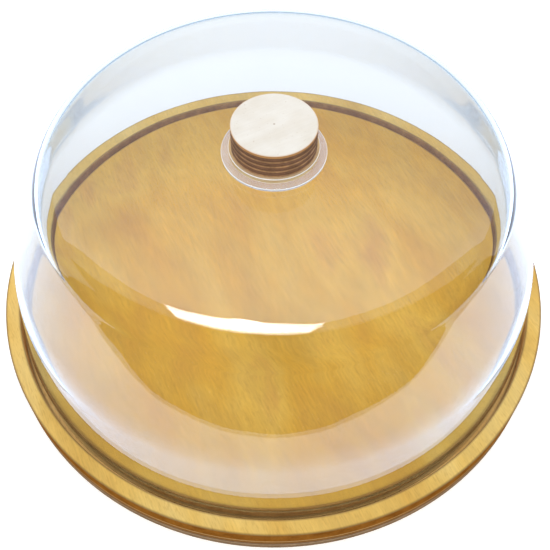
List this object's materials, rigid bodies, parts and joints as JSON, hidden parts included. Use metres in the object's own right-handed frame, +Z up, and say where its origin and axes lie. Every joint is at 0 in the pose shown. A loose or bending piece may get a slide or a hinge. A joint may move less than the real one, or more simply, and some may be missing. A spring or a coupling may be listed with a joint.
{
  "type": "cheese dome",
  "caption": "Round laminated wooden serving board with a grooved rim and a clear tapered dome that lifts off by a flat round wooden knob.",
  "frame": {"origin": "centre of the board's underside, on the surface it stands on", "axes": "+Z up through the knob; the part is round about Z"},
  "size_m": [0.3, 0.3, 0.1354],
  "materials": {
    "base_plywood": "plywood, burnt brown edge under a thin satin varnish",
    "rim_plywood": "honey-stained birch plywood under gloss varnish",
    "field_plywood": "honey-stained birch plywood under gloss varnish",
    "clear_acrylic": "clear moulded acrylic, polished",
    "pale_plywood": "bare pale birch plywood with a laser-burnt edge",
    "zinc_steel": "zinc-plated steel"
  },
  "bodies": {
    "board": {"base_disc": "base_plywood", "rim_ring": "rim_plywood", "field_disc": "field_plywood"},
    "dome": {"dome_shell": "clear_acrylic", "seat_flange": "clear_acrylic", "seat_disc": "clear_acrylic", "knob": "pale_plywood", "knob_washer": "zinc_steel", "knob_screw": "zinc_steel"}
  },
  "joints": [
    {"name": "dome_lift", "type": "slide", "parent": "board", "child": "dome", "axis": [0, 0, 1], "range_m": [0, 0.15]}
  ]
}
